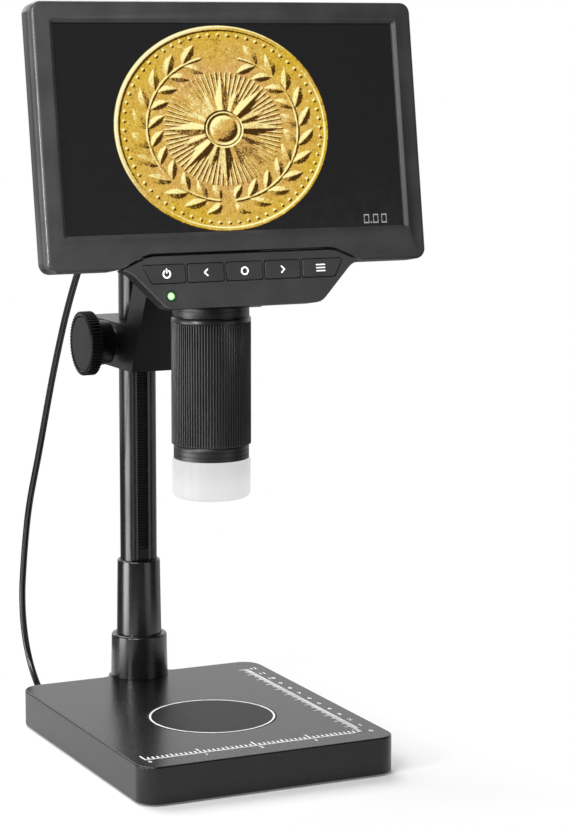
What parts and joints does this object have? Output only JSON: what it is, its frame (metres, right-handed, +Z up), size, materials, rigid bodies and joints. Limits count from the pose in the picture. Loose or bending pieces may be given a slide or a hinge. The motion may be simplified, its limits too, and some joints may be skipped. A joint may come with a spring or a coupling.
{
  "type": "lcd digital microscope",
  "caption": "Digital microscope: tilting flat screen on a geared arm over a base with a round weigh pan; ribbed focus tube, knobs on the arm, keys under the screen, side cable.",
  "frame": {"origin": "middle of the whole object's width and depth, on the surface that it stands on", "axes": "+Z up, -Y towards the user in front of the screen, +X to the user's right"},
  "size_m": [0.173, 0.1832, 0.3266],
  "materials": {
    "body_plastic": "satin black, finely textured",
    "gloss_black": "smooth black",
    "fascia": "matte dark grey",
    "post_black": "black anodised",
    "rack_black": "moulded black",
    "rubber": "matt",
    "cord": "smooth cable jacket",
    "steel": "plated",
    "alloy": "machined",
    "brass": "turned",
    "liner": "low-friction, off-white",
    "board": "solder mask",
    "lamp": "small lamps",
    "frosted": "frosted, translucent",
    "lens": "coated",
    "screen": "smooth cover",
    "panel_metal": "display module frame",
    "cell": "foil-wrapped cell",
    "status": "light guide"
  },
  "bodies": {
    "stand": {"base_housing": "body_plastic", "bottom_cover": "body_plastic", "rubber_feet": "rubber", "cover_screws": "steel", "load_cell": "alloy", "cell_spacer": "alloy", "cell_screws": "steel", "scale_board": "board", "link_socket": "steel", "lower_collar": "body_plastic", "upper_collar": "body_plastic", "post": "post_black", "rack": "rack_black", "post_cap": "body_plastic", "post_bolt": "steel", "link_cable": "cord", "base_plug": "cord"},
    "pan": {"weigh_pan": "gloss_black", "pan_carrier": "alloy"},
    "carriage": {"head_housing": "body_plastic", "head_cover": "body_plastic", "head_screws": "steel", "slide_liners": "liner", "shaft_bushes": "brass", "control_panel": "fascia", "button_board": "board", "status_lamp": "status", "camera_barrel": "body_plastic", "nose_ring": "body_plastic", "sensor_board": "board", "light_board": "board", "light_lamps": "lamp", "light_shade": "frosted", "head_plug": "cord", "head_socket": "steel", "case_hinge_pin": "steel"},
    "focus_drive": {"focus_shaft": "steel", "pinion": "brass", "left_knob": "body_plastic", "right_knob": "body_plastic", "knob_caps": "fascia"},
    "lens": {"lens_carrier": "body_plastic", "front_lens": "lens", "rear_lens": "lens"},
    "ring": {"focus_ring": "body_plastic"},
    "power_key": {"power_button": "fascia"},
    "left_key": {"left_button": "fascia"},
    "ok_key": {"ok_button": "fascia"},
    "right_key": {"right_button": "fascia"},
    "menu_key": {"menu_button": "fascia"},
    "display": {"display_bezel": "fascia", "screen_window": "screen", "lcd_panel": "panel_metal", "display_board": "board", "battery": "cell", "rear_shell": "body_plastic", "case_screws": "steel"}
  },
  "joints": [
    {"name": "carriage_slide", "type": "slide", "parent": "stand", "child": "carriage", "axis": [0, 0, 1], "range_m": [-0.085, 0.024], "deforming": ["link_cable"]},
    {"name": "focus_turn", "type": "hinge", "parent": "carriage", "child": "focus_drive", "pos_m": [0, 0.0574, 0.175], "axis": [1, 0, 0], "range_deg": [-390, 1360]},
    {"name": "screen_tilt", "type": "hinge", "parent": "carriage", "child": "display", "pos_m": [0, -0.02683, 0.23235], "axis": [-1, 0, 0], "range_deg": [0, 25]},
    {"name": "ring_turn", "type": "hinge", "parent": "carriage", "child": "ring", "pos_m": [0, -0.0175, 0.166], "axis": [0, 0, 1], "range_deg": [-120, 120]},
    {"name": "lens_slide", "type": "slide", "parent": "carriage", "child": "lens", "axis": [0, 0, 1], "range_m": [-0.0033, 0.0033]},
    {"name": "pan_sink", "type": "slide", "parent": "stand", "child": "pan", "axis": [0, 0, -1], "range_m": [0, 0.0004], "stiffness_N_per_m": 20000},
    {"name": "power_press", "type": "slide", "parent": "carriage", "child": "power_key", "axis": [0, 0.9877, -0.1564], "range_m": [0, 0.0008], "stiffness_N_per_m": 2500},
    {"name": "left_press", "type": "slide", "parent": "carriage", "child": "left_key", "axis": [0, 0.9877, -0.1564], "range_m": [0, 0.0008], "stiffness_N_per_m": 2500},
    {"name": "ok_press", "type": "slide", "parent": "carriage", "child": "ok_key", "axis": [0, 0.9877, -0.1564], "range_m": [0, 0.0008], "stiffness_N_per_m": 2500},
    {"name": "right_press", "type": "slide", "parent": "carriage", "child": "right_key", "axis": [0, 0.9877, -0.1564], "range_m": [0, 0.0008], "stiffness_N_per_m": 2500},
    {"name": "menu_press", "type": "slide", "parent": "carriage", "child": "menu_key", "axis": [0, 0.9877, -0.1564], "range_m": [0, 0.0008], "stiffness_N_per_m": 2500}
  ],
  "couplings": [
    {"joint": "focus_turn", "follows": "carriage_slide", "rad_per_m": -277.78},
    {"joint": "ring_turn", "follows": "lens_slide", "rad_per_m": 628.32}
  ]
}
